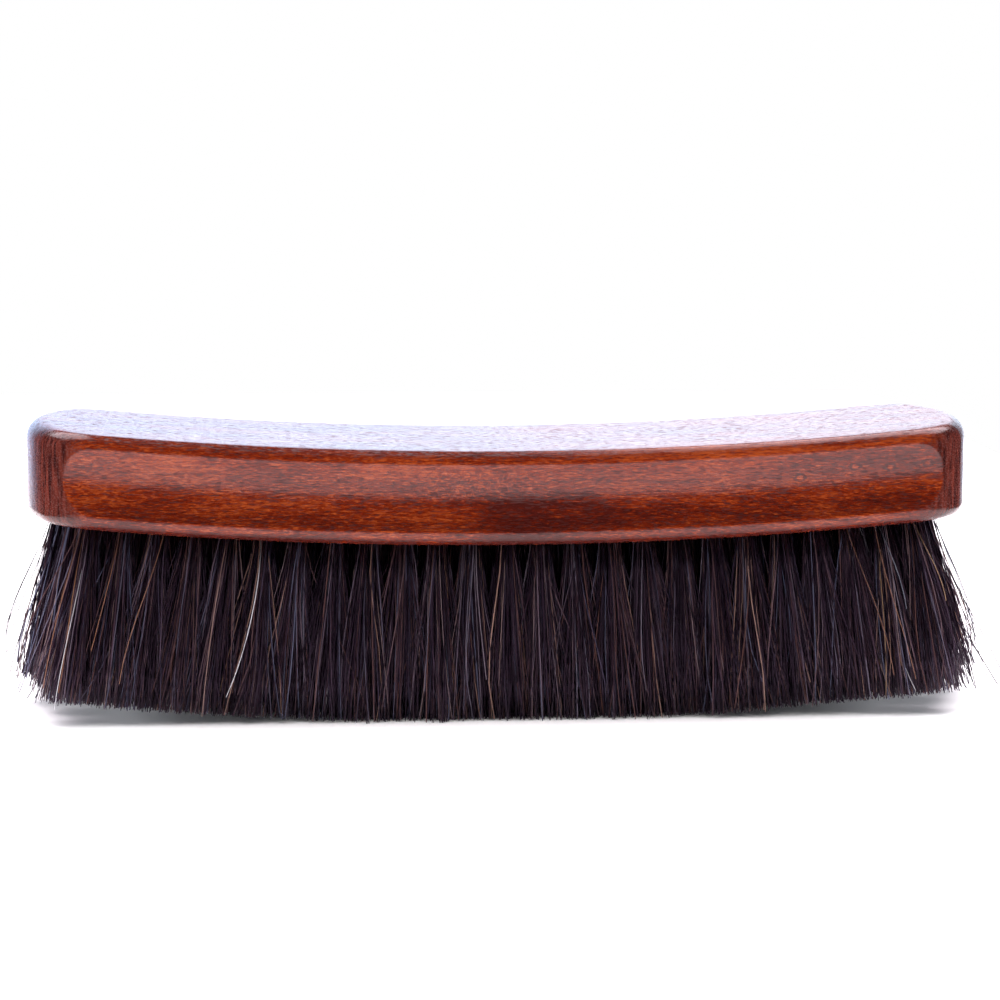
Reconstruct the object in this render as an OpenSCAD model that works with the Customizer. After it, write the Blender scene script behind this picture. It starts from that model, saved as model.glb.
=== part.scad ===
// Horsehair shoe shine brush.
// A curved beech block with a finger cove along each long side, and five rows of hair tufts.
// Each tuft is folded round a flat wire anchor at the bottom of its own drilled hole.
// X runs along the brush, Y across it, Z up. The brush stands on the tips at Z = 0.

/* [Block] */
// Length of the block
block_l = 204; // [150:1:260]
// Width of the block
block_w = 57; // [50:0.5:75]
// Thickness of the block
block_t = 20; // [18:0.5:30]
// Radius of the curved sole, whose middle hangs lowest
sole_r = 950; // [600:10:3000]
// Radius of the bowed ends in plan
end_r = 55; // [45:1:120]
// Radius of the four corners in plan
corner_r = 13; // [6:0.5:16]
// Rounding of the top edge along the sides
top_round = 2.8; // [1:0.1:4]
// Rounding of the top edge round the ends, which are sanded more
top_round_end = 4.4; // [1:0.1:5]
// Rounding of the sole's edge along the sides
sole_round = 2; // [1:0.1:4]
// Rounding of the sole's edge round the ends, which is left crisper
sole_round_end = 1.6; // [1:0.1:5]

/* [Finger coves] */
// Height of the cove on the long side
cove_h = 13.8; // [8:0.2:16]
// Depth of the cove
cove_d = 2; // [0.5:0.1:3]
// Height of the cove's middle over the sole
cove_z = 10.1; // [9:0.1:14]

/* [Tufts] */
// Free length of the hair, sole to floor, at the middle of the brush
hair_l = 37.5; // [15:0.5:60]
// How deep the resting patch is worn flat into the curved trim
rest_cut = 0.5; // [0.2:0.1:1]
// Spacing of the tufts along a row
tuft_pitch = 7.35; // [6.8:0.05:10]
// Least distance from an end of the block to the centre of a tuft
end_margin = 6.4; // [5:0.1:12]
// Distance from a long side to the centre line of the outer row
side_margin = 7.5; // [6.5:0.5:9]
// Size of the field of tips over that of the field of roots
tip_spread = 1.065; // [1:0.005:1.15]
// Gap between neighbouring tufts at the tips, along a row
tip_gap = 0.4; // [0.2:0.1:1]
// Reach of a tuft's tips across the row, each way
tip_reach = 5.2; // [3:0.1:5.5]
// Share of the full circle that the three strands of a tuft fill at the tips
tip_fill = 0.72; // [0.4:0.02:0.9]

/* [Holes and anchors] */
// Diameter of a tuft hole
hole_d = 5; // [4:0.1:5.5]
// Depth of a tuft hole
hole_depth = 12; // [9:0.5:14]
// Thickness of the flat anchor wire
anchor_t = 0.5; // [0.3:0.1:0.8]
// Width of the flat anchor wire, along the hole
anchor_h = 1.8; // [1.2:0.1:2.4]
// How far each end of an anchor bites into the wall of its hole
anchor_bite = 0.9; // [0.4:0.1:1.2]
// Thickness of the hair folded over the anchor
fold_t = 1.2; // [0.8:0.1:2]

/* [Fits] */
// Gap between a tuft's root and the wall of its hole
root_gap = 0.1; // [0.05:0.01:0.2]
// Gap between the root and the bottom of the hole
bottom_gap = 0.2; // [0.1:0.05:0.4]
// Gap between an anchor and its slots in the wood and in the hair
anchor_gap = 0.05; // [0.02:0.01:0.1]
// How far inside the hole the strands start to spread
mouth_inset = 0.4; // [0.2:0.1:1]

/* [Hidden] */
TUFT_ROWS = [-2, -1, 0, 1, 2];

// Steps in which curves are drawn
corner_steps = 7;
bow_steps = 5;
side_steps = 16;
round_steps = 4;
arc_fn = 720;
cove_fn = 72;
hole_fn = 16;
// Angle that the cove cutters sweep each side of the middle
cove_sweep = 10;
// How far cutters run out of the wood
overrun = 2;
// Strands of a tuft, and the sides of its root, where every second one carries a strand
strands = 3;
sides_each = 2;
root_sides = strands * sides_each;
// Angle of the strands of a tuft at the middle of a row, and the turn from one tuft to the next
first_turn = 30;
tuft_turn = 47;
// Where a strand's inner edge lies, as a share of the tuft's radius at the root and at the tips
inner_root = 0.3;
inner_tip = 0.22;

half_l = block_l / 2;
half_w = block_w / 2;
arc_z = hair_l + sole_r;
top_r = sole_r - block_t;
trim_r = sole_r + hair_l + rest_cut;
// Centre of the bow at an end, and of the corner beside it
bow_x = half_l - end_r;
corner_y = half_w - corner_r;
corner_x = bow_x + sqrt(pow(end_r - corner_r, 2) - pow(corner_y, 2));
bow_angle = atan2(corner_y, corner_x - bow_x);
cove_r = (pow(cove_h / 2, 2) + pow(cove_d, 2)) / (2 * cove_d);
row_pitch = (half_w - side_margin) / 2;
middle_count = 2 * floor((half_l - end_margin) / tuft_pitch) + 1;
root_r = hole_d / 2 - root_gap;
root_top = hole_depth - bottom_gap;
anchor_z = root_top - fold_t - anchor_h / 2;
anchor_l = hole_d + 2 * anchor_bite;
tip_x = tuft_pitch * tip_spread / 2 - tip_gap / 2;

// Heights of the sole, of the top and of the trimmed tips at a place along the brush
function sole_at(x) = arc_z - sqrt(pow(sole_r, 2) - x * x);
function top_at(x) = arc_z - sqrt(pow(top_r, 2) - x * x);
function trim_at(x) = max(0, arc_z - sqrt(pow(trim_r, 2) - x * x));

function unit(v) = v / norm(v);
function flip_x(p) = [-p[0], p[1], -p[2], p[3]];

// Plan outline of the back half, from the left end to the right end: x, y and the outward normal
function plan_arc(cx, cy, r, from, to, steps, last) =
    [for (k = [0 : steps - (last ? 0 : 1)]) let (a = from + (to - from) * k / steps)
        [cx + r * cos(a), cy + r * sin(a), cos(a), sin(a)]];
right_end = concat(plan_arc(corner_x, corner_y, corner_r, 90, bow_angle, corner_steps, false),
                   plan_arc(bow_x, 0, end_r, bow_angle, 0, bow_steps, true));
left_end = [for (k = [len(right_end) - 1 : -1 : 0]) flip_x(right_end[k])];
side_run = [for (k = [1 : side_steps - 1]) [-corner_x + 2 * corner_x * k / side_steps, half_w, 0, 1]];
stations = concat(left_end, side_run, right_end);
last_station = len(stations) - 1;

// One closed ring round the block: along the back to the right end, and home along the front
ring = concat([for (k = [0 : last_station]) [k, 1]], [for (k = [last_station - 1 : -1 : 1]) [k, -1]]);

// Edge profile, sole to top, in shares of the rounding: inset, height over the sole or under the top
profile = concat(
    [for (k = [0 : round_steps]) let (a = 90 * k / round_steps) [1 - sin(a), 1 - cos(a), false]],
    [for (k = [0 : round_steps]) let (a = 90 * k / round_steps) [1 - cos(a), 1 - sin(a), true]]);

// The rounding grows from its size on the sides to its size on the ends as the outline turns
function rounding(s, is_top) = is_top
    ? top_round + (top_round_end - top_round) * s[2] * s[2]
    : sole_round + (sole_round_end - sole_round) * s[2] * s[2];

function block_point(r, p) =
    let (s = stations[r[0]], round_r = rounding(s, p[2]), inset = round_r * p[0], rise = round_r * p[1])
    let (x = s[0] - s[2] * inset, y = r[1] * (s[1] - s[3] * inset))
    [x, y, p[2] ? top_at(x) - rise : sole_at(x) + rise];

// Walls run ring by ring, and the sole and the top are strips from the back edge to the front edge
module block_shell() {
    n = len(ring);
    top0 = n * (len(profile) - 1);
    walls = [for (j = [0 : len(profile) - 2], i = [0 : n - 1]) let (a = j * n + i, b = j * n + (i + 1) % n)
        each [[a, b, b + n], [a, b + n, a + n]]];
    front = function(k) (n - k) % n;
    strips = [for (k = [0 : last_station - 1])
        let (a = k, b = k + 1, c = front(k), d = front(k + 1))
        each [[a, b, d], [a, d, c]]];
    caps = [for (t = strips) if (t[0] != t[1] && t[1] != t[2] && t[0] != t[2]) t];
    polyhedron(
        points = [for (p = profile, r = ring) block_point(r, p)],
        faces = concat([for (w = walls) [w[2], w[1], w[0]]],
                       [for (c = caps) [c[2], c[1], c[0]]],
                       [for (c = caps) [for (v = c) v + top0]]));
}

// A long ring of round section, bent to the sole's own centre, for the coves
module cove_cutter(side) {
    translate([0, side * (half_w - cove_d + cove_r), arc_z])
        rotate([90, 0, 0])
            rotate_extrude(angle = 2 * cove_sweep, start = 270 - cove_sweep, $fn = arc_fn)
                translate([sole_r - cove_z, 0])
                    circle(cove_r, $fn = cove_fn);
}

// Where a tuft leaves the sole, where its tips are centred, and the axes of its hole
function tuft_count(row) = middle_count - abs(row);
function from_middle(row, i) = i - (tuft_count(row) - 1) / 2;
function tuft_x(row, i) = from_middle(row, i) * tuft_pitch;
// The front rows mirror the back ones, and each row mirrors itself
function first_strand(row, i) = (row > 0 ? -1 : 1) * (first_turn + tuft_turn * from_middle(row, i));
function mouth(row, i) = let (x = tuft_x(row, i)) [x, row * row_pitch, sole_at(x)];
function tips(row, i) = let (x = tuft_x(row, i) * tip_spread) [x, row * row_pitch * tip_spread, trim_at(x)];
function into_wood(row, i) = unit(mouth(row, i) - tips(row, i));
function along_row(w) = unit([1, 0, 0] - w * w[0]);

// Places its children at a tuft's mouth, with Z into the wood and Y across the row
module at_tuft(row, i) {
    m = mouth(row, i);
    w = into_wood(row, i);
    u = along_row(w);
    v = cross(w, u);
    multmatrix([[u[0], v[0], w[0], m[0]], [u[1], v[1], w[1], m[1]], [u[2], v[2], w[2], m[2]]])
        children();
}

// A flat wire laid across the hole, grown all round by a gap
module anchor_bar(gap) {
    translate([0, 0, anchor_z])
        cube([anchor_t + 2 * gap, anchor_l + 2 * gap, anchor_h + 2 * gap], center = true);
}

module tuft_hole() {
    translate([0, 0, -overrun])
        cylinder(h = hole_depth + overrun, d = hole_d, $fn = hole_fn);
    anchor_bar(anchor_gap);
}

// A tuft: a folded root in the hole, and three strands that spread from it to the trimmed tips
module tuft(row, i) {
    m = mouth(row, i);
    t = tips(row, i);
    w = into_wood(row, i);
    u = along_row(w);
    v = cross(w, u);
    side_turn = 360 / root_sides;
    turn = first_strand(row, i) - side_turn / 2;
    root = function(k, share, h)
        m + w * h + root_r * share * (u * cos(turn + side_turn * k) + v * sin(turn + side_turn * k));
    tip = function(a, share)
        let (x = t[0] + share * tip_x * cos(a), y = t[1] + share * tip_reach * sin(a))
        [x, y, trim_at(x)];
    spread = side_turn * tip_fill;
    n = root_sides;
    points = concat(
        [for (k = [0 : n - 1]) root(k, 1, root_top)],
        [for (k = [0 : n - 1]) root(k, 1, mouth_inset)],
        [for (s = [0 : strands - 1]) root(sides_each * s + 1 / sides_each, inner_root, mouth_inset)],
        [for (s = [0 : strands - 1]) let (a = first_strand(row, i) + 360 * s / strands)
            each [tip(a - spread, 1), tip(a + spread, 1), tip(a, inner_tip)]]);
    outer = function(k) n + k % n;
    inner = function(s) 2 * n + s % strands;
    first_tip = 2 * n + strands;
    crown = [for (k = [1 : n - 2]) [0, k + 1, k]];
    sides = [for (k = [0 : n - 1])
        each [[k, (k + 1) % n, outer(k + 1)], [k, outer(k + 1), outer(k)]]];
    floor_faces = concat([[for (s = [0 : strands - 1]) inner(s)]],
        [for (s = [0 : strands - 1])
            let (a = inner(s), b = outer(sides_each * s + 1), c = outer(sides_each * (s + 1)), d = inner(s + 1))
            each [[a, b, c], [a, c, d]]]);
    strand_faces = [for (s = [0 : strands - 1])
        let (a = outer(sides_each * s), b = outer(sides_each * s + 1), c = inner(s))
        let (p = first_tip + len([a, b, c]) * s, q = p + 1, r = p + 2)
        each [[a, b, q], [a, q, p], [b, c, r], [b, r, q], [c, a, p], [c, p, r], [p, q, r]]];
    difference() {
        polyhedron(points = points, faces = concat(crown, sides, floor_faces, strand_faces));
        at_tuft(row, i)
            anchor_bar(anchor_gap);
    }
}

module block() {
    color("#7d3517")
        difference() {
            block_shell();
            cove_cutter(-1);
            cove_cutter(1);
            for (row = TUFT_ROWS, i = [0 : tuft_count(row) - 1])
                at_tuft(row, i)
                    tuft_hole();
        }
}

module tuft_row(row) {
    color("#1d191b")
        for (i = [0 : tuft_count(row) - 1])
            tuft(row, i);
}

module anchor_row(row) {
    color("#b9bcc0")
        for (i = [0 : tuft_count(row) - 1])
            at_tuft(row, i)
                anchor_bar(0);
}

module front_row_tufts() tuft_row(-2);
module second_row_tufts() tuft_row(-1);
module middle_row_tufts() tuft_row(0);
module fourth_row_tufts() tuft_row(1);
module back_row_tufts() tuft_row(2);
module front_row_anchors() anchor_row(-2);
module second_row_anchors() anchor_row(-1);
module middle_row_anchors() anchor_row(0);
module fourth_row_anchors() anchor_row(1);
module back_row_anchors() anchor_row(2);

block();
front_row_tufts();
second_row_tufts();
middle_row_tufts();
fourth_row_tufts();
back_row_tufts();
front_row_anchors();
second_row_anchors();
middle_row_anchors();
fourth_row_anchors();
back_row_anchors();
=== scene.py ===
"""Looks of a horsehair shoe shine brush: a varnished, bowed block and five rows of trimmed hair tufts.

X runs along the brush, Y across it and Z up, in metres. The brush stands on its tips at Z = 0.
"""

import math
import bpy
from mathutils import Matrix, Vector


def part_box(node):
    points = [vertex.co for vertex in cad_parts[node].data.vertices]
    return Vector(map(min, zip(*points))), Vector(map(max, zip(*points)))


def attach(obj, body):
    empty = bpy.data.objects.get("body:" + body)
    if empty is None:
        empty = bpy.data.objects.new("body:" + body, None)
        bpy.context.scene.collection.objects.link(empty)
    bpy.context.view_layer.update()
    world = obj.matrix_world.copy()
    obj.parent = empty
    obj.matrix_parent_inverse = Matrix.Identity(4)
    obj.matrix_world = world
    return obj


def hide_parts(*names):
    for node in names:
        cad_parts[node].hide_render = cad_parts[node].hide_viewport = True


bl_info = {
    "name": "Shoe shine brush",
    "version": (1, 0, 0),
    "blender": (4, 5, 0),
    "location": "View3D > Sidebar > Brush",
    "description": "Builds the varnished block, the hair and the studio of a shoe shine brush",
    "category": "Object",
}

import bmesh
import bpy
import numpy as np
from bpy.props import FloatProperty, FloatVectorProperty, IntProperty, PointerProperty
from mathutils import Matrix, Vector

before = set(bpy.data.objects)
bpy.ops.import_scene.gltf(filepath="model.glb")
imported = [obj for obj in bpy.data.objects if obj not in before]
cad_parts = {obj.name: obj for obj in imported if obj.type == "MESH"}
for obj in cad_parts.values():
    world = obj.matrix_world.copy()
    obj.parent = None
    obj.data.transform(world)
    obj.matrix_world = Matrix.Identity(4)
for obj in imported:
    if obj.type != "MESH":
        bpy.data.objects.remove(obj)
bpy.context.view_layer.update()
_, WOOD_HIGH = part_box("block")
MIDDLE_LOW, MIDDLE_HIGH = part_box("middle_row_tufts")

MM = 0.001
ROW_NAMES = {-2: "front_row", -1: "second_row", 0: "middle_row", 1: "fourth_row", 2: "back_row"}
HAIR_MAP = "OFBake"
HAIR_COLUMNS = 64
TAN, YELLOW, BLUE_GREY, WHITE = 60, 61, 62, 63
# Single pale hairs on the front, in mm: the colour column, the root, two inner control points and the tip.
MARKED_HAIRS = (
    (TAN, (-89.0, -22.3, 42.7), (-92.3, -28.1, 32.1), (-95.8, -26.7, 20.2), (-97.6, -28.9, 8.7)),
    (TAN, (-88.4, -22.3, 42.6), (-91.3, -28.0, 31.7), (-92.2, -26.9, 19.3), (-94.5, -29.0, 7.7)),
    (TAN, (-81.2, -22.3, 42.0), (-82.8, -27.2, 33.7), (-85.3, -26.7, 24.8), (-87.6, -28.0, 16.3)),
    (TAN, (-72.1, -22.3, 41.2), (-74.4, -27.4, 30.8), (-80.2, -27.3, 20.5), (-81.8, -28.8, 9.4)),
    (WHITE, (-52.0, -22.3, 39.9), (-51.8, -29.1, 31.4), (-55.1, -25.4, 15.3), (-59.6, -28.9, 6.3)),
    (BLUE_GREY, (79.4, -22.3, 41.8), (81.1, -27.3, 36.3), (84.8, -25.5, 29.7), (85.4, -27.0, 23.1)),
    (YELLOW, (86.9, -22.3, 42.5), (88.8, -26.1, 36.6), (93.1, -26.0, 31.2), (94.0, -26.8, 24.7)),
    (TAN, (78.9, -22.3, 41.8), (79.9, -27.2, 30.4), (84.9, -27.1, 19.5), (87.4, -28.7, 8.1)),
    (TAN, (72.5, -22.3, 41.3), (75.4, -27.5, 30.8), (81.3, -26.8, 20.3), (82.6, -28.6, 9.0)),
    (WHITE, (75.4, -20.0, 41.5), (81.7, -17.0, 30.5), (82.3, -21.0, 17.3), (87.3, -29.0, 5.7)),
)
MARKED_THICKNESS = 0.75  # in shares of the mean
# Eyes in the grain of the right half, in mm: place along the block and height, then half an eye's size.
EYES = ((62.0, 51.4), (73.8, 53.8), (81.4, 53.6), (89.5, 54.4))
EYE_LENGTH, EYE_HEIGHT = 1.7, 1.1

# Steps round a quarter of the block's outline and up its profile.
SIDE_STEPS, CORNER_STEPS, BOW_STEPS = 110, 44, 40
ROUND_STEPS, INWARD_STEPS, WALL_STEPS = 9, 10, 48
TINY = 0.01 * MM  # distances under this count as none

# How the hairs depart from an even field. Lengths are in metres and shares run from 0 to 1.
SEED = 20
ROOT_DEPTH = 1.5 * MM
SQUARE_START = 0.55  # how much of a hair's first direction is square to the sole
HANDLE = 0.33  # share of a hair's length from each end to its control point
ROOTS_DRAWN_IN = (80 * MM, 0.12, 0.06)  # distance from the middle, then shares on the right and the left
TIPS_DRAWN_IN = (88 * MM, 0.1, 0.2)
WIDER_ALONG = 1.05  # stretch of a tuft's fan along the row
TUFT_LEAN, FRAY_ALONG, FRAY_ACROSS = 0.12, 0.24, 0.16  # in shares of a tuft's reach
ASTRAY = ((0.17, 2.8 * MM), (0.04, 6 * MM))  # share of the hairs and how far their tips stray along the row
TRIM_SLIP = 0.25 * MM
SHORT_SHARE, SHORT_POWER, SHORTEST = 0.2, 1.4, 10 * MM
END_RISE, END_RISE_AT = 0.9 * MM, 100 * MM  # how much the trim lifts at a distance from the middle
LOOSE_SHARE, LOOSE_TIMES = 0.35, 3.0
SWAY_NEAR_TIP, SWAY_NEAR_ROOT = 0.75 * MM, 0.4 * MM
HAIR_THINNEST, HAIR_VARIES, TIP_THINNER = 0.75, 0.5, 0.8  # in shares of the mean thickness
TUFT_STEPS, STRAY_STEPS, MARKED_STEPS = 6, 12, 16  # rings of points along a hair

# Stray hairs: the rows that they leave, and how they depart from these rows.
STRAY_ROWS = (-2, -2, -2, -1, 0, 1, 2, 2)
STRAY_END_SHARE = 0.34
STRAY_OUT_LEAST, STRAY_OUT_MORE = 1.5 * MM, 3.5 * MM  # past the field at both ends
STRAY_ALONG, STRAY_END_ACROSS, STRAY_ACROSS = 3 * MM, 1.5 * MM, 1.1 * MM
STRAY_PAST_SOLIDS = 3 * MM
STRAY_SHORT_END, STRAY_SHORT_SIDE = 7 * MM, 8 * MM
STRAY_SWAY_ROOT, STRAY_SWAY_TIP = 1 * MM, 1.6 * MM

# The hairs' colours: shares of pale ones, powers above 1 that favour the first columns, the map's margins.
PALE_SHARE, PALE_STRAY_SHARE = 0.003, 0.04
DARK_POWER, PALE_POWER = 1.05, 1.6
MAP_SIDE, MAP_END, MAP_CAP = 0.15, 0.01, 0.02
# The brighter brown and grey-blue columns are partly lighter hairs and partly painted sheen: they stand in
# for the glints and the bluish sheen along the hairs.
HAIR_TINTS_AND_SHEEN = (
    (0.0, (0.003, 0.0015, 0.003)), (0.35, (0.009, 0.0045, 0.009)), (0.5, (0.02, 0.01, 0.019)),
    (0.62, (0.045, 0.022, 0.027)), (0.7, (0.026, 0.028, 0.052)), (0.8, (0.15, 0.07, 0.055)),
    (0.88, (0.12, 0.14, 0.22)), (0.935, (0.33, 0.19, 0.14)),
    ((TAN + 0.5) / HAIR_COLUMNS, (0.28, 0.12, 0.06)),
    ((YELLOW + 0.5) / HAIR_COLUMNS, (0.4, 0.22, 0.08)),
    ((BLUE_GREY + 0.5) / HAIR_COLUMNS, (0.18, 0.21, 0.27)),
    ((WHITE + 0.5) / HAIR_COLUMNS, (0.85, 0.82, 0.84)),
)

# Lamps: name, place, point it faces, width and depth, power in watts, tint, and whether gloss mirrors it.
LAMPS = (
    ("overhead", (0, -0.02, 1.05), (0, 0, 0), (0.9, 0.9), 15.0, (1.0, 0.985, 0.97), False),
    ("softbox", (-0.62, 0.42, 1.0), (-0.62, 0.3, 0), (0.95, 1.2), 20.0, (1.0, 0.9, 0.98), True),
    ("side_light", (-1.1, 0.05, 0.16), (0, 0, 0.02), (0.5, 0.3), 17.0, (0.92, 0.94, 1.0), False),
    ("softbox", (0.62, 0.42, 1.0), (0.62, 0.3, 0), (0.95, 1.2), 20.0, (1.0, 0.9, 0.98), True),
    ("side_light", (1.1, 0.05, 0.16), (0, 0, 0.02), (0.5, 0.3), 15.0, (0.92, 0.94, 1.0), False),
)


def length(name, description, default):
    return FloatProperty(name=name, description=description, default=default, subtype="DISTANCE",
                         unit="LENGTH")


def number(name, description, default):
    return FloatProperty(name=name, description=description, default=default)


def turn(name, description, degrees):
    return FloatProperty(name=name, description=description, default=math.radians(degrees), subtype="ANGLE")


def colour(name, description, default):
    return FloatVectorProperty(name=name, description=description, default=default, size=3,
                               subtype="COLOR", min=0, max=1)


class BrushBlock(bpy.types.PropertyGroup):
    half_length: length("Half length", "Half the length of the block", WOOD_HIGH.x)
    half_width: length("Half width", "Half the width of the block", WOOD_HIGH.y)
    thickness: length("Thickness", "Thickness of the block", 20 * MM)
    sole_radius: length("Sole radius", "Radius of the bowed sole", 950 * MM)
    end_radius: length("End radius", "Radius of the bowed ends in plan", 55 * MM)
    corner_radius: length("Corner radius", "Radius of the corners in plan", 13 * MM)
    top_round: length("Top rounding", "Rounding of the top edge along the sides", 2.8 * MM)
    top_round_end: length("Top rounding, ends", "Rounding of the top edge round the ends", 4.4 * MM)
    sole_round: length("Sole rounding", "Rounding of the sole's edge along the sides", 3 * MM)
    sole_round_end: length("Sole rounding, ends", "Rounding of the sole's edge round the ends", 1.6 * MM)
    cove_height: length("Cove height", "Height of the finger cove", 13.8 * MM)
    cove_depth: length("Cove depth", "Depth of the finger cove", 2 * MM)
    cove_middle: length("Cove middle", "Height of the cove's middle over the sole", 10.1 * MM)
    worn_edge: length("Worn edge", "How softly the cove meets the side", 0.16 * MM)
    stain: colour("Stain", "Colour of most of the stained wood", (0.21, 0.019, 0.003))
    stain_dark: colour("Dark stain", "Colour of the flecks and the late wood", (0.07, 0.009, 0.006))
    stain_light: colour("Light stain", "Colour of the lightest fibres", (0.43, 0.078, 0.018))
    # Painted shade: faces that turn upwards, the top most of all, are mixed towards this dark colour, against
    # the lamp overhead.
    painted_top_shade: colour("Painted shade on top", "Colour of the painted shade on the faces that turn upwards", (0.012, 0.001, 0.001))
    end_grain: colour("End grain", "Colour of the ends, which drink more stain", (0.12, 0.024, 0.016))
    end_lines: colour("End grain lines", "Colour of the pores and rings at the ends", (0.03, 0.006, 0.005))


class BrushHair(bpy.types.PropertyGroup):
    free_length: length("Free length", "Free length of the hair at the middle", 37.5 * MM)
    rest_cut: length("Resting patch", "How deep the tips are worn flat at the middle", 0.5 * MM)
    pitch: length("Tuft spacing", "Spacing of the tufts along a row", 7.35 * MM)
    row_pitch: length("Row spacing", "Spacing of the rows", 10.5 * MM)
    spread: number("Spread", "Size of the field of tips over that of the roots", 1.065)
    root_radius: length("Root radius", "Radius of a tuft at its hole", 1.95 * MM)
    tip_reach_x: length("Reach along", "Reach of a tuft's tips along the row", 5.4 * MM)
    tip_reach_y: length("Reach across", "Reach of a tuft's tips across the row", 5.1 * MM)
    thickness: length("Hair radius", "Mean radius of a hair", 0.125 * MM)
    per_tuft: IntProperty(name="Hairs a tuft", description="Hairs in each tuft", default=300, min=40)
    strays: IntProperty(name="Stray hairs", description="Hairs that leave the trim", default=260, min=0)
    middle_count: IntProperty(name="Longest row", description="Tufts in the middle row", default=27, min=3)


class BrushStage(bpy.types.PropertyGroup):
    distance: length("Camera distance", "From the camera to the point it was levelled on", 675 * MM)
    aim_height: length("Aim height", "Height of that point", 30 * MM)
    elevation: turn("Elevation", "Angle of the view below the horizon", 8.63)
    yaw: turn("Yaw", "How far the brush is turned from square", 4.83)
    roll: turn("Roll", "Roll of the camera", 0.139)
    tilt: turn("Tilt", "How far above that point the camera aims", 1.155)
    pan: turn("Pan", "How far right of that point the camera aims", 0.041)
    lens: number("Lens", "Focal length in millimetres on a 36 mm frame", 110.52)
    table_half: length("Table half width", "Half the width of the table", 225 * MM)
    table_front: length("Table front", "How far the table comes forward of the brush", 360 * MM)
    table_back: length("Table back", "How far the table goes back behind the brush", 700 * MM)
    backdrop_left: colour("Backdrop left", "Colour of the light from behind on the left", (0.55, 0.7, 1.0))
    backdrop_right: colour("Backdrop right", "Colour of the light from behind on the right", (0.7, 0.82, 1.0))
    backdrop_power: number("Backdrop power", "Strength of the light from behind", 2.7)
    dim_power: number("Dim power", "Strength of the light from all other sides", 0.02)


# Meshes


def grid_faces(rows, columns):
    """Quads between neighbouring rows of a grid of points, where each row closes on itself."""
    j, i = np.meshgrid(np.arange(rows - 1), np.arange(columns), indexing="ij")
    a = j * columns + i
    b = j * columns + (i + 1) % columns
    return np.stack([a, b, b + columns, a + columns], -1).reshape(-1, 4)


def mesh_object(name, points, quads, triangles=None, spots=None):
    """A mesh from arrays of points, quads and triangles, with one map spot for each face corner."""
    triangles = np.zeros((0, 3), int) if triangles is None else triangles
    corners = np.concatenate([quads.ravel(), triangles.ravel()])
    starts = np.concatenate([np.arange(len(quads)) * 4, quads.size + np.arange(len(triangles)) * 3])
    mesh = bpy.data.meshes.new(name)
    mesh.vertices.add(len(points))
    mesh.vertices.foreach_set("co", points.astype(np.float32).ravel())
    mesh.loops.add(len(corners))
    mesh.loops.foreach_set("vertex_index", corners.astype(np.int32))
    mesh.polygons.add(len(starts))
    mesh.polygons.foreach_set("loop_start", starts.astype(np.int32))
    mesh.update(calc_edges=True)
    if spots is not None:
        layer = mesh.uv_layers.new(name=HAIR_MAP, do_init=False)
        layer.uv.foreach_set("vector", spots.astype(np.float32).ravel())
    mesh.shade_smooth()
    piece = bpy.data.objects.new(name, mesh)
    bpy.context.scene.collection.objects.link(piece)
    return piece


def merged(piece, reach):
    """Doubles merged and faces turned outwards, for a grid whose last rows fold onto themselves."""
    work = bmesh.new()
    work.from_mesh(piece.data)
    bmesh.ops.remove_doubles(work, verts=work.verts, dist=reach)
    bmesh.ops.recalc_face_normals(work, faces=work.faces)
    work.to_mesh(piece.data)
    work.free()
    piece.data.shade_smooth()


# The block's shape


def sole_at(x, block, hair):
    """Height of the sole: the sole's circle, whose centre stands over the middle."""
    top = hair.free_length + block.sole_radius
    return top - np.sqrt(block.sole_radius**2 - x**2)


def top_at(x, block, hair):
    """Height of the top: a circle about the sole's own centre, less the thickness."""
    top = hair.free_length + block.sole_radius
    return top - np.sqrt((block.sole_radius - block.thickness) ** 2 - x**2)


def plan_quarter(block):
    """Back right quarter of the outline, with its normals: straight side, corner arc, then the bowed end."""
    bow_x = block.half_length - block.end_radius
    corner_y = block.half_width - block.corner_radius
    corner_x = bow_x + math.sqrt((block.end_radius - block.corner_radius) ** 2 - corner_y**2)
    meet = math.atan2(corner_y, corner_x - bow_x)
    side = np.linspace(0, 1, SIDE_STEPS, endpoint=False)
    side = np.stack([corner_x * side, np.full_like(side, block.half_width), side * 0, side * 0 + 1], 1)
    a = np.linspace(math.pi / 2, meet, CORNER_STEPS, endpoint=False)
    corner = np.stack([corner_x + block.corner_radius * np.cos(a), corner_y + block.corner_radius * np.sin(a),
                       np.cos(a), np.sin(a)], 1)
    a = np.linspace(meet, 0, BOW_STEPS)
    bow = np.stack([bow_x + block.end_radius * np.cos(a), block.end_radius * np.sin(a),
                    np.cos(a), np.sin(a)], 1)
    return np.concatenate([side, corner, bow])


def plan_ring(block):
    """The whole outline: the quarter and its three mirror images, joined in order."""
    quarter = plan_quarter(block)
    front = quarter[:-1][::-1] * [1, -1, 1, -1]
    right = np.concatenate([quarter, front])
    left = right[1:-1][::-1] * [-1, 1, -1, 1]
    return np.concatenate([right, left])


def edge_profile():
    """Sole to top: inset and rise in shares of the rounding, share of the wall, and share of the way in."""
    turns = np.linspace(0, math.pi / 2, ROUND_STEPS)
    inward = np.linspace(1, 0, INWARD_STEPS, endpoint=False)
    wall = np.linspace(0, 1, WALL_STEPS)[1:-1]
    rows = [(1, 0, 0, s) for s in inward]
    rows += [(1 - math.sin(a), 1 - math.cos(a), 0, 0) for a in turns]
    rows += [(0, 1, s, 0) for s in wall]
    rows += [(1 - math.cos(a), 1 - math.sin(a), 1, 0) for a in turns]
    rows += [(1, 0, 1, s) for s in inward[::-1]]
    return np.array(rows)


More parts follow.
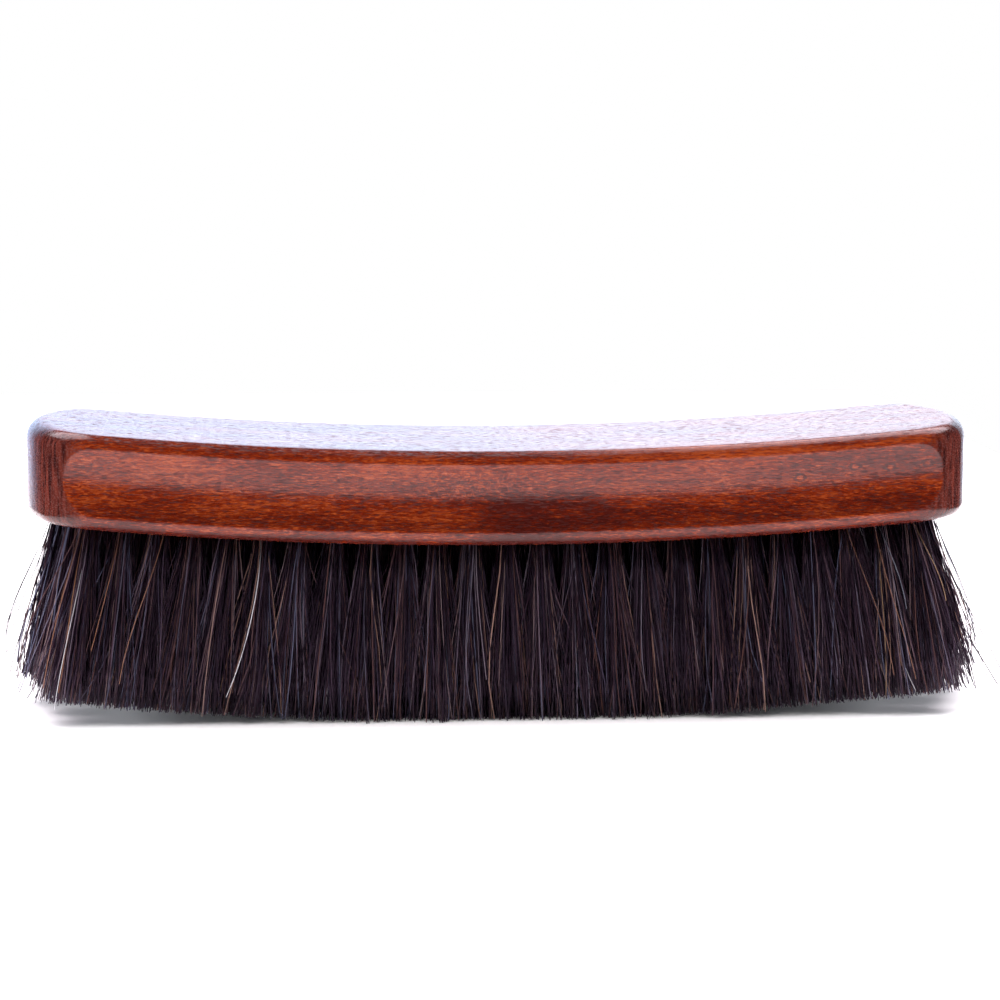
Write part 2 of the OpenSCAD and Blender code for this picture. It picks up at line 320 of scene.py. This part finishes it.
def cove_limit(x, z, block, hair):
    """How far out the wood reaches at a height: the cove is a round ring about the sole's centre."""
    centre = hair.free_length + block.sole_radius
    radius = ((block.cove_height / 2) ** 2 + block.cove_depth**2) / (2 * block.cove_depth)
    away = np.hypot(x, centre - z) - (block.sole_radius - block.cove_middle)
    inside = np.sqrt(np.maximum(radius**2 - away**2, 0))
    return block.half_width - block.cove_depth + radius - inside


def soft_least(a, b, reach):
    """The lesser of two values, blended where they lie within a reach of each other."""
    near = np.maximum(reach - np.abs(a - b), 0) / reach
    return np.minimum(a, b) - near**2 * reach / 4


def block_surface(block, hair):
    """A ring of the outline for each row of the profile, inset by the rounding, at its height between sole
    and top, and pulled in towards the middle where the cove cuts."""
    ring = plan_ring(block)
    inset, rise, wall, inward = (edge_profile()[:, k][:, None] for k in range(4))
    x, y, nx, ny = ring.T
    sole_round = block.sole_round + (block.sole_round_end - block.sole_round) * nx**2
    top_round = block.top_round + (block.top_round_end - block.top_round) * nx**2
    at_sole, at_top = wall == 0, wall == 1
    rounding = np.where(at_top, top_round, np.where(at_sole, sole_round, 0))
    px = x - nx * inset * rounding
    py = (y - ny * inset * rounding) * (1 - inward)
    low = sole_at(px, block, hair) + np.where(at_sole, rise * rounding, sole_round)
    high = top_at(px, block, hair) - np.where(at_top, rise * rounding, top_round)
    pz = np.where(at_sole, low, np.where(at_top, high, low + (high - low) * wall))
    limit = cove_limit(px, pz, block, hair)
    held = soft_least(np.abs(py), limit, block.worn_edge)
    py = np.sign(py) * np.where(inward > 0, np.abs(py), np.maximum(held, 0))
    return np.stack([px, py, pz], -1)


# The hair's shape


def trim_at(x, block, hair):
    """Height of the trimmed tips: a circle about the sole's centre, worn flat where it would pass Z = 0."""
    radius = block.sole_radius + hair.free_length + hair.rest_cut
    return np.maximum(0, hair.free_length + block.sole_radius - np.sqrt(radius**2 - x**2))


def disc(chance, count):
    """Points spread evenly over a unit disc: the root of a chance for the radius, and a free angle."""
    radius, angle = np.sqrt(chance.random(count)), chance.random(count) * 2 * math.pi
    return radius * np.cos(angle), radius * np.sin(angle)


def unit(v):
    return v / np.linalg.norm(v, axis=-1, keepdims=True)


def drawn_in(x, start, right, left):
    """Places that lie past a distance from the middle, moved back by a share of what they are past it."""
    return x - np.maximum(x - start, 0) * right - np.minimum(x + start, 0) * left


def tuft_hairs(chance, row, side, block, hair):
    """Root, two inner control points and tip of each hair of a row's tufts on one side of the middle.

    A hair leaves its hole nearly square to the sole and spreads in a soft curve to its own place in the
    trimmed field. Some tips stray along the row, some hairs end short of the trim, and some sway more."""
    count = hair.middle_count - abs(row)
    x = (np.arange(count) - (count - 1) / 2) * hair.pitch
    x = x[(x < -TINY) if side < 0 else (x >= -TINY)]
    mouth = np.stack([x, np.full_like(x, row * hair.row_pitch), sole_at(x, block, hair)], 1)
    tips = mouth * [hair.spread, hair.spread, 0]
    tips[:, 2] = trim_at(tips[:, 0], block, hair)
    mouth, tips = (np.repeat(p, hair.per_tuft, axis=0) for p in (mouth, tips))
    n = len(mouth)
    into = unit(mouth - tips)
    along = unit(np.array([1.0, 0, 0]) - into * into[:, :1])
    across = np.cross(into, along)
    a, b = disc(chance, n)
    root = mouth + into * ROOT_DEPTH + (along * a[:, None] + across * b[:, None]) * hair.root_radius
    root[:, 0] = drawn_in(root[:, 0], *ROOTS_DRAWN_IN)
    lean = np.repeat(chance.normal(0, TUFT_LEAN, (n // hair.per_tuft, 2)), hair.per_tuft, axis=0)
    a = a * WIDER_ALONG + chance.normal(0, FRAY_ALONG, n) + lean[:, 0]
    b = b + chance.normal(0, FRAY_ACROSS, n) + lean[:, 1]
    astray = sum((chance.random(n) < share) * chance.normal(0, far, n) for share, far in ASTRAY)
    tip = tips + np.stack([a * hair.tip_reach_x + astray, b * hair.tip_reach_y, np.zeros(n)], 1)
    tip[:, 0] = drawn_in(tip[:, 0], *TIPS_DRAWN_IN)
    slip = np.abs(chance.normal(0, TRIM_SLIP, n))
    short = (chance.random(n) < SHORT_SHARE) * chance.random(n) ** SHORT_POWER * SHORTEST
    lift = END_RISE * (tip[:, 0] / END_RISE_AT) ** 2
    tip[:, 2] = trim_at(tip[:, 0], block, hair) + slip + short + lift
    reach = np.linalg.norm(tip - root, axis=1, keepdims=True)
    straight = unit(root - tip)
    first = root - (into * SQUARE_START + straight * (1 - SQUARE_START)) * reach * HANDLE
    second = tip + straight * reach * HANDLE
    loose = np.where(chance.random(n) < LOOSE_SHARE, LOOSE_TIMES, 1.0)[:, None]
    for point, sway in ((second, SWAY_NEAR_TIP), (first, SWAY_NEAR_ROOT)):
        moved = chance.normal(0, sway, (n, 2)) * loose
        point += along * moved[:, :1] + across * moved[:, 1:]
    return root, first, second, tip


def stray_hairs(chance, block, hair):
    """Hairs that leave the outer rows and the ends in wider curves, past the trimmed field."""
    n = hair.strays
    row = chance.choice(STRAY_ROWS, n)
    at_end = chance.random(n) < STRAY_END_SHARE
    half = (hair.middle_count - np.abs(row) - 1) / 2
    place = np.where(at_end, half * np.sign(chance.random(n) - 0.5),
                     np.round((chance.random(n) * 2 - 1) * half))
    between = (place - half) % 1 > 0.25
    place = place + np.where(between, 0.5, 0)
    x = np.clip(place, -half, half) * hair.pitch
    y = row * hair.row_pitch
    mouth = np.stack([x, y, sole_at(x, block, hair)], 1)
    tips = np.stack([x * hair.spread, y * hair.spread, trim_at(x * hair.spread, block, hair)], 1)
    into = unit(mouth - tips)
    a, b = disc(chance, n)
    out_x = np.where(at_end, np.sign(x) * (STRAY_OUT_LEAST + STRAY_OUT_MORE * chance.random(n)),
                     chance.normal(0, STRAY_ALONG, n))
    out_y = np.where(at_end, chance.normal(0, STRAY_END_ACROSS, n),
                     np.sign(y) * np.abs(chance.normal(0, STRAY_ACROSS, n)))
    root = mouth + into * ROOT_DEPTH + np.stack([a, b, 0 * a], 1) * hair.root_radius
    tip = tips + np.stack([a * hair.tip_reach_x + out_x, b * hair.tip_reach_y + out_y, 0 * a], 1)
    tip[:, 0] = np.clip(tip[:, 0], MIDDLE_LOW.x - STRAY_PAST_SOLIDS, MIDDLE_HIGH.x + STRAY_PAST_SOLIDS)
    short = np.where(at_end, chance.random(n) * STRAY_SHORT_END, chance.random(n) ** 3 * STRAY_SHORT_SIDE)
    tip[:, 2] = trim_at(tip[:, 0], block, hair) + short
    reach = np.linalg.norm(tip - root, axis=1, keepdims=True)
    first = root - into * reach * HANDLE + chance.normal(0, STRAY_SWAY_ROOT, (n, 3))
    second = tip + into * reach * HANDLE + chance.normal(0, STRAY_SWAY_TIP, (n, 3))
    return root, first, second, tip


def hair_surface(chance, course, rows, radius, columns):
    """A three-sided tube for each hair, along the cubic curve of its four points and never below its tip.

    Its map spots run across a column of the hair colours and along the hair from root to tip."""
    root, first, second, tip = course
    n = len(root)
    t = np.linspace(0, 1, rows)[None, :, None]
    line = ((1 - t) ** 3 * root[:, None] + 3 * (1 - t) ** 2 * t * first[:, None]
            + 3 * (1 - t) * t**2 * second[:, None] + t**3 * tip[:, None])
    line[:, :, 2] = np.maximum(line[:, :, 2], tip[:, None, 2])
    axis = unit(tip - root)
    side = unit(np.cross(axis, unit(chance.normal(0, 1, (n, 3)))))
    other = np.cross(axis, side)
    thick = radius * (HAIR_THINNEST + HAIR_VARIES * chance.random(n))[:, None]
    thick = thick * np.linspace(1, TIP_THINNER, rows)
    angle = np.arange(3) * 2 * math.pi / 3
    ring = side[:, None] * np.cos(angle)[:, None] + other[:, None] * np.sin(angle)[:, None]
    points = line[:, :, None] + ring[:, None] * thick[:, :, None, None]
    points[..., 2] = np.maximum(points[..., 2], 0)
    start, last = (np.arange(n) * rows * 3)[:, None, None], rows * 3 - 3
    quads = start + grid_faces(rows, 3)
    ends = start + np.array([[0, 2, 1], [last, last + 1, last + 2]])
    j, i = np.divmod(np.arange((rows - 1) * 3), 3)
    u = np.stack([i, i + 1, i + 1, i], 1) / 3
    v = np.stack([j, j, j + 1, j + 1], 1) / (rows - 1)
    left, wide = (columns[:, None, None] + MAP_SIDE) / HAIR_COLUMNS, (1 - 2 * MAP_SIDE) / HAIR_COLUMNS
    quad_u = left + u * wide
    quad_v = np.broadcast_to(MAP_END + v * (1 - 2 * MAP_END), quad_u.shape)
    cap_u = left + np.array([[0, 0.5, 1], [0, 0.5, 1]]) * wide
    cap_v = np.array([[0, 1, 0], [-1, 0, -1]]) * MAP_CAP + np.array([[MAP_END], [1 - MAP_END]])
    cap_v = np.broadcast_to(cap_v, cap_u.shape)
    spots = np.stack([np.append(quad_u, cap_u), np.append(quad_v, cap_v)], 1)
    return points.reshape(-1, 3), quads.reshape(-1, 4), ends.reshape(-1, 3), spots


def hair_colours(chance, count, pale_share):
    """A colour column for each hair: dark, brown and grey ones, and a share of pale ones."""
    dark = np.floor(chance.random(count) ** DARK_POWER * TAN)
    is_pale = chance.random(count) < pale_share
    pale = TAN + np.floor(chance.random(count) ** PALE_POWER * (HAIR_COLUMNS - TAN))
    return np.where(is_pale, pale, dark)


# Materials


class Flow:
    """One output socket of a node tree, on which sums, products and powers add their own Math nodes."""

    def __init__(self, tree, socket):
        self.tree, self.socket = tree, socket

    def node(self, kind, settings=None, **inputs):
        """A node of a type, its settings first, then values or links for its sockets by name or _number."""
        made = self.tree.nodes.new(kind)
        for key, value in (settings or {}).items():
            if key == "stops":
                ramp = made.color_ramp
                while len(ramp.elements) < len(value):
                    ramp.elements.new(0.5)
                for element, (place, tint) in zip(ramp.elements, value):
                    element.position, element.color = place, (*tint, 1)
            else:
                setattr(made, key, value)
        for key, value in inputs.items():
            socket = made.inputs[int(key[1:])] if key[0] == "_" else made.inputs[key.replace("_", " ")]
            if isinstance(value, Flow):
                self.tree.links.new(value.socket, socket)
            else:
                socket.default_value = value
        return made

    def out(self, made, name=0):
        return Flow(self.tree, made.outputs[name])

    def maths(self, operation, *values):
        return self.out(self.node("ShaderNodeMath", {"operation": operation},
                                  **{f"_{k}": v for k, v in enumerate(values)}))

    def __add__(self, other):
        return self.maths("ADD", self, other)

    def __sub__(self, other):
        return self.maths("SUBTRACT", self, other)

    def __mul__(self, other):
        return self.maths("MULTIPLY", self, other)

    def __truediv__(self, other):
        return self.maths("DIVIDE", self, other)

    def __pow__(self, other):
        return self.maths("POWER", self, other)

    def __radd__(self, other):
        return self.maths("ADD", other, self)

    def __rsub__(self, other):
        return self.maths("SUBTRACT", other, self)

    def __rmul__(self, other):
        return self.maths("MULTIPLY", other, self)

    def __rtruediv__(self, other):
        return self.maths("DIVIDE", other, self)

    def __abs__(self):
        return self.maths("ABSOLUTE", self)

    def step(self, low, high):
        """Zero below low and one above high, eased between."""
        made = self.node("ShaderNodeMapRange", {"interpolation_type": "SMOOTHSTEP"}, Value=self)
        made.inputs["From Min"].default_value, made.inputs["From Max"].default_value = low, high
        return self.out(made)

    def parts(self):
        made = self.node("ShaderNodeSeparateXYZ", Vector=self)
        return [self.out(made, k) for k in range(3)]

    def stretched(self, x, y, z):
        """The place with each axis multiplied by its own factor."""
        made = self.node("ShaderNodeVectorMath", {"operation": "MULTIPLY"}, _0=self, _1=(x, y, z))
        return self.out(made)

    def noise(self, scale, detail=2.0, rough=0.5, warp=0.0):
        return self.out(self.node("ShaderNodeTexNoise", Vector=self, Scale=scale, Detail=detail,
                                  Roughness=rough, Distortion=warp))

    def ramp(self, stops):
        """The colour at this value between stops of a place and a colour."""
        return self.out(self.node("ShaderNodeValToRGB", {"stops": stops}, Fac=self))

    def mixed(self, first, second):
        """Two colours, mixed by this value."""
        made = self.node("ShaderNodeMix", {"data_type": "RGBA"}, _0=self)
        for socket, value in ((made.inputs[6], first), (made.inputs[7], second)):
            if isinstance(value, Flow):
                self.tree.links.new(value.socket, socket)
            else:
                socket.default_value = (*value, 1)
        return self.out(made, 2)


def new_material(name, **constants):
    """A material with one Principled shader, whose constants are set on its own sockets."""
    made = bpy.data.materials.new(name)
    made.use_nodes = True
    shader = made.node_tree.nodes["Principled BSDF"]
    for key, value in constants.items():
        shader.inputs[key.replace("_", " ")].default_value = value
    coordinates = made.node_tree.nodes.new("ShaderNodeTexCoord")
    return made, shader, Flow(made.node_tree, coordinates.outputs["Object"])


def drive(shader, **flows):
    for key, flow in flows.items():
        flow.tree.links.new(flow.socket, shader.inputs[key.replace("_", " ")])


def bump(place, height, strength, distance):
    return place.out(place.node("ShaderNodeBump", Height=height, Strength=strength, Distance=distance))


def stained_wood(block, hair):
    """Stained beech under varnish.

    Growth rings about a pith far below carry long fibres, short dark ray flecks, light and dark dashes,
    light sparks and a few round eyes. The stain is cloudy. It is darker low at the middle and towards the
    right in the cove's upper half. Painted shade darkens the sole's edge, where the hair meets it, and the
    faces that turn upwards, the top most of all. A painted highlight lightens the strip over the cove
    towards the right. Curls cross the cove's upper half near the middle. The ends show pores and rings of
    end grain."""
    made, shader, place = new_material("stained_beech", IOR=1.5, Specular_IOR_Level=0.42)
    mm = place.stretched(1000, 1000, 1000)
    x, y, z = mm.parts()
    across, _, upward = place.out(place.node("ShaderNodeNewGeometry"), "Normal").parts()
    sole, centre = block.sole_radius / MM, (hair.free_length + block.sole_radius) / MM
    rise = sole - place.maths("SQRT", x**2.0 + (z - centre) ** 2.0)
    rim = (block.cove_middle + block.cove_height / 2) / MM
    pith_y, pith_z, ring_width = 46.0, -60.0, 2.6
    wander = mm.stretched(0.016, 0.05, 0.05).noise(1.0, 3.0, 0.5)
    depth = place.maths("SQRT", (y - pith_y) ** 2.0 + (z - pith_z) ** 2.0) + (wander - 0.5) * 9.0
    rings = place.maths("FRACT", depth / ring_width)
    late = rings.step(0.35, 0.95) * (1 - rings.step(0.95, 1.0))
    fibres = mm.stretched(0.22, 2.0, 2.0).noise(1.0, 4.0, 0.66, 0.3)
    flecks = mm.stretched(0.6, 3.6, 3.6).noise(1.0, 1.0, 0.5)
    figure = mm.stretched(0.1, 0.8, 0.8).noise(1.0, 2.0, 0.6)
    dashes = mm.stretched(0.8, 4.4, 4.4).noise(1.0, 1.0, 0.5)
    sparks = mm.stretched(0.45, 2.6, 2.6).noise(1.3, 1.0, 0.5, 0.4)
    cloud = mm.stretched(0.04, 0.16, 0.16).noise(1.0, 2.0, 0.5)
    curls = 1 - abs(mm.stretched(0.7, 0.6, 0.6).noise(1.0, 1.0, 0.5, 0.8) - 0.5).step(0.0, 0.09)

    # Where each mark lies: x along the block, z over the table and rise over the sole, in mm.
    curled = (1 - abs((x + 7.0) / 18.0).step(0.4, 1.0)) * (1 - abs(rise - 13.0).step(2.0, 4.5))
    strip = rise.step(rim - 0.3, rim + 0.4)
    upper = rise.step(9.0, 10.5) * (1 - strip)
    # Painted shade along the sole's edge, where the hair meets the wood.
    edge = 1 - rise.step(0.9, 2.0)
    eyes = 0.0
    for along, height in EYES:
        away = ((x - along) / EYE_LENGTH) ** 2.0 + ((z - height) / EYE_HEIGHT) ** 2.0
        away = place.maths("SQRT", away) + (dashes - 0.5) * 0.5
        eyes = place.maths("SINE", away * 7.0) * (1 - away.step(0.5, 1.3)) + eyes
    low_middle = (1 - abs((x - 10.0) / 20.0).step(0.4, 1.0)) * (1 - z.step(46.0, 50.0))

    tone = 0.5
    for layer, weight in (
        (fibres - 0.5, 1.7),
        (cloud - 0.5, 1.2),
        (late, -0.1),
        (flecks.step(0.52, 0.62), -0.34),
        # painted shade along the sole's edge
        (edge, -0.42),
        (upper * x.step(30.0, 95.0), -0.24),
        (sparks.step(0.6, 0.7), 0.45),
        ((curls - 0.35) * curled, 0.4),
        (low_middle, -0.34),
        (eyes, 0.5),
        # Painted highlight: the strip over the cove is lighter towards the right, as the lamp on the right
        # lights it.
        (strip * x.step(-10.0, 30.0), 0.28),
        (dashes.step(0.58, 0.66), 0.34),
        (1 - dashes.step(0.34, 0.42), -0.3),
    ):
        tone = tone + layer * weight
    face = tone.ramp([(0.0, block.stain_dark), (0.5, block.stain), (1.0, block.stain_light)])
    pores = mm.stretched(0.9, 1.3, 0.17).noise(1.0, 3.0, 0.6)
    lines = mm.stretched(1.0, 2.2, 0.12).noise(1.0, 2.0, 0.6)
    ends = (pores * 0.5 + lines * 0.5).step(0.38, 0.6).mixed(block.end_grain, block.end_lines)
    whole = abs(across).step(0.06, 0.55).mixed(face, ends)
    haze = mm.stretched(0.08, 0.5, 0.5).noise(1.0, 2.0, 0.5)
    grain = fibres * 1.6 + flecks * 1.4 + sparks * 1.2 + figure * 2.6
    waves = mm.noise(0.22, 1.0) * (1 - abs(upward)) * 5.0
    height = grain * (1 - upward.step(0.6, 0.95) * 0.35) + waves + pores * abs(across) * 3.0
    # Painted shade: faces that turn upwards, the top most of all, are mixed towards a dark colour.
    drive(shader, Base_Color=(upward.step(0.1, 0.8) * 0.62).mixed(whole, block.painted_top_shade),
          Roughness=0.13 + haze * 0.1 + flecks.step(0.5, 0.66) * 0.3,
          Normal=bump(place, height, 1.0, 0.014 * MM))
    return made


def horsehair():
    """Dark natural hair: each column of the map is one hair colour, along which the tone drifts.

    A hair is darker near its root: painted shade among the roots of the tufts. A pale hair is browner
    still near its root. The brighter columns are partly painted sheen along the hairs."""
    made, shader, place = new_material("horsehair", Roughness=0.3, IOR=1.5, Specular_IOR_Level=0.42,
                                       Specular_Tint=(1.0, 0.68, 1.0, 1))
    spot = place.out(place.node("ShaderNodeUVMap", {"uv_map": HAIR_MAP}))
    u, v, _ = spot.parts()
    drift = spot.stretched(HAIR_COLUMNS, 5, 1).noise(1.0, 2.0, 0.5)
    # Painted shade: darker towards the roots, where the tufts shade each other, a little lighter towards the
    # tips.
    root_shade = 0.62 + v.step(0.0, 0.4) * 0.33 + v * 0.08
    pale_root = 1 - u.step(0.94, 0.945) * (1 - v.step(0.1, 0.55)) * 0.8
    shade = (0.49 + drift * 0.8) * root_shade * pale_root
    tone = place.node("ShaderNodeVectorMath", {"operation": "SCALE"}, _0=u.ramp(HAIR_TINTS_AND_SHEEN), Scale=shade)
    drive(shader, Base_Color=place.out(tone))
    return made


def bright_wire():
    """Flat drawn wire: fine lines along it, which change its shine and its height a little."""
    made, shader, place = new_material("anchor_wire", Metallic=1.0)
    lines = place.stretched(9000, 700, 9000).noise(1.0, 2.0, 0.5)
    drive(shader, Base_Color=lines.mixed((0.5, 0.51, 0.53), (0.74, 0.75, 0.77)), Roughness=0.22 + lines * 0.2,
          Normal=bump(place, lines, 0.2, 0.02 * MM))
    return made


def pale_table():
    return new_material("pale_table", Roughness=0.9, Specular_IOR_Level=0.2, Base_Color=(0.9, 0.9, 0.9, 1))[0]


# Operators


class BRUSH_OT_block(bpy.types.Operator):
    """Makes the bowed, varnished block with its finger coves"""

    bl_idname = "brush.block"
    bl_label = "Block"

    def execute(self, context):
        block, hair = context.scene.brush_block, context.scene.brush_hair
        surface = block_surface(block, hair)
        rows, columns = surface.shape[:2]
        piece = mesh_object("wooden_block", surface.reshape(-1, 3), grid_faces(rows, columns))
        merged(piece, TINY)
        piece.data.materials.append(stained_wood(block, hair))
        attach(piece, "root")
        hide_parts("block")
        return {"FINISHED"}


class BRUSH_OT_hair(bpy.types.Operator):
    """Makes the hair of the five rows of tufts, each row in two halves, and the stray and marked hairs"""

    bl_idname = "brush.hair"
    bl_label = "Hair"

    def execute(self, context):
        block, hair = context.scene.brush_block, context.scene.brush_hair
        chance = np.random.default_rng(SEED)
        material = horsehair()
        for row, name in ROW_NAMES.items():
            for side, end in ((-1, "left"), (1, "right")):
                course = tuft_hairs(chance, row, side, block, hair)
                columns = hair_colours(chance, len(course[0]), PALE_SHARE)
                surface = hair_surface(chance, course, TUFT_STEPS, hair.thickness, columns)
                self.dress(f"{name}_hair_{end}", surface, material, f"{name}_tufts")
        course = stray_hairs(chance, block, hair)
        columns = hair_colours(chance, hair.strays, PALE_STRAY_SHARE)
        surface = hair_surface(chance, course, STRAY_STEPS, hair.thickness, columns)
        self.dress("stray_hairs", surface, material)
        columns = np.array([marked[0] for marked in MARKED_HAIRS])
        course = [np.array([marked[k] for marked in MARKED_HAIRS]) * MM for k in range(1, 5)]
        surface = hair_surface(chance, course, MARKED_STEPS, hair.thickness * MARKED_THICKNESS, columns)
        self.dress("marked_hairs", surface, material)
        return {"FINISHED"}

    def dress(self, name, surface, material, node=None):
        piece = mesh_object(name, *surface)
        piece.data.materials.append(material)
        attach(piece, "root")
        if node:
            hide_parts(node)


class BRUSH_OT_anchors(bpy.types.Operator):
    """Gives the wire anchors in the tuft holes their finish"""

    bl_idname = "brush.anchors"
    bl_label = "Anchors"

    def execute(self, context):
        material = bright_wire()
        for name in ROW_NAMES.values():
            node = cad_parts[f"{name}_anchors"]
            if not node.material_slots:
                node.data.materials.append(material)
            for slot in node.material_slots:
                slot.material = material
        return {"FINISHED"}


class BRUSH_OT_stage(bpy.types.Operator):
    """Makes the pale table, the studio light and the camera"""

    bl_idname = "brush.stage"
    bl_label = "Stage"

    def execute(self, context):
        stage = context.scene.brush_stage
        wide, deep, front = stage.table_half, stage.table_back, -stage.table_front
        corners = np.array([[-wide, front, 0], [wide, front, 0], [wide, deep, 0], [-wide, deep, 0]])
        table = mesh_object("table", corners, np.array([[0, 1, 2, 3]]))
        table.data.materials.append(pale_table())
        self.daylight(context.scene, stage)
        for lamp in LAMPS:
            self.lamp(context.scene, *lamp)
        self.camera(context.scene, stage)
        context.scene.view_settings.view_transform = "Standard"
        return {"FINISHED"}

    def daylight(self, scene, stage):
        """White to the camera. As light it is bright only low behind, and reaches higher on the right."""
        world = bpy.data.worlds.new("studio")
        world.use_nodes = True
        scene.world = world
        tree = world.node_tree
        place = Flow(tree, tree.nodes.new("ShaderNodeTexCoord").outputs["Generated"])
        x, y, z = place.parts()
        height = z - x.step(-0.2, 0.3) * 0.32
        behind = y.step(0.85, 0.94) * (1 - height.step(0.3, 0.45))
        strength = stage.dim_power + behind * stage.backdrop_power
        glow = tree.nodes["Background"]
        tint = x.step(-0.25, 0.25).mixed(stage.backdrop_left, stage.backdrop_right)
        tree.links.new(tint.socket, glow.inputs["Color"])
        tree.links.new(strength.socket, glow.inputs["Strength"])
        plain = place.node("ShaderNodeBackground", Color=(1, 1, 1, 1), Strength=1.0)
        seen = place.out(place.node("ShaderNodeLightPath"), "Is Camera Ray")
        mixer = place.node("ShaderNodeMixShader", _0=seen)
        tree.links.new(glow.outputs[0], mixer.inputs[1])
        tree.links.new(plain.outputs[0], mixer.inputs[2])
        tree.links.new(mixer.outputs[0], tree.nodes["World Output"].inputs["Surface"])

    def lamp(self, scene, name, place, aim, size, power, tint, mirrored):
        """A flat lamp, wide and deep, which shows in glossy surfaces only if it is mirrored."""
        data = bpy.data.lights.new(name, "AREA")
        data.shape, data.energy, data.color = "RECTANGLE", power, tint
        data.size, data.size_y = size
        lamp = bpy.data.objects.new(name, data)
        lamp.location = place
        lamp.visible_glossy = mirrored
        lamp.rotation_euler = (Vector(aim) - Vector(place)).to_track_quat("-Z", "Y").to_euler()
        scene.collection.objects.link(lamp)

    def camera(self, scene, stage):
        """Looks at the aim point from its distance, elevation and yaw, then rolls, tilts and pans."""
        level = Vector((math.sin(stage.yaw), math.cos(stage.yaw), 0))
        ahead = level * math.cos(stage.elevation) - Vector((0, 0, math.sin(stage.elevation)))
        right = Vector((math.cos(stage.yaw), -math.sin(stage.yaw), 0))
        place = Vector((0, 0, stage.aim_height)) - ahead * stage.distance
        up = right.cross(ahead)
        right, up = (right * math.cos(stage.roll) + up * math.sin(stage.roll),
                     up * math.cos(stage.roll) - right * math.sin(stage.roll))
        ahead = ahead * math.cos(stage.tilt) + up * math.sin(stage.tilt) + right * math.sin(stage.pan)
        ahead.normalize()
        right = ahead.cross(up).normalized()
        up = right.cross(ahead)
        data = bpy.data.cameras.new("camera")
        data.sensor_width, data.lens = 36, stage.lens
        data.clip_start, data.clip_end = 0.01, 20
        camera = bpy.data.objects.new("camera", data)
        turned = Matrix((right, up, -ahead)).transposed().to_4x4()
        camera.matrix_world = Matrix.Translation(place) @ turned
        scene.collection.objects.link(camera)
        scene.camera = camera


class BRUSH_PT_panel(bpy.types.Panel):
    bl_label = "Shoe shine brush"
    bl_idname = "BRUSH_PT_panel"
    bl_space_type = "VIEW_3D"
    bl_region_type = "UI"
    bl_category = "Brush"

    def draw(self, context):
        for group, title in (("brush_block", "Block"), ("brush_hair", "Hair"), ("brush_stage", "Stage")):
            box = self.layout.box()
            box.label(text=title)
            values = getattr(context.scene, group)
            for key in values.bl_rna.properties.keys():
                if key not in ("rna_type", "name"):
                    box.prop(values, key)
        for operator in OPERATORS:
            self.layout.operator(operator.bl_idname)


GROUPS = {"brush_block": BrushBlock, "brush_hair": BrushHair, "brush_stage": BrushStage}
OPERATORS = (BRUSH_OT_block, BRUSH_OT_hair, BRUSH_OT_anchors, BRUSH_OT_stage)


def register():
    for kind in (*GROUPS.values(), *OPERATORS, BRUSH_PT_panel):
        bpy.utils.register_class(kind)
    for name, kind in GROUPS.items():
        setattr(bpy.types.Scene, name, PointerProperty(type=kind))


def unregister():
    for name in GROUPS:
        delattr(bpy.types.Scene, name)
    for kind in reversed((*GROUPS.values(), *OPERATORS, BRUSH_PT_panel)):
        bpy.utils.unregister_class(kind)


def main():
    register()
    bpy.ops.brush.block()
    bpy.ops.brush.hair()
    bpy.ops.brush.anchors()
    bpy.ops.brush.stage()


if __name__ == "__main__":
    main()
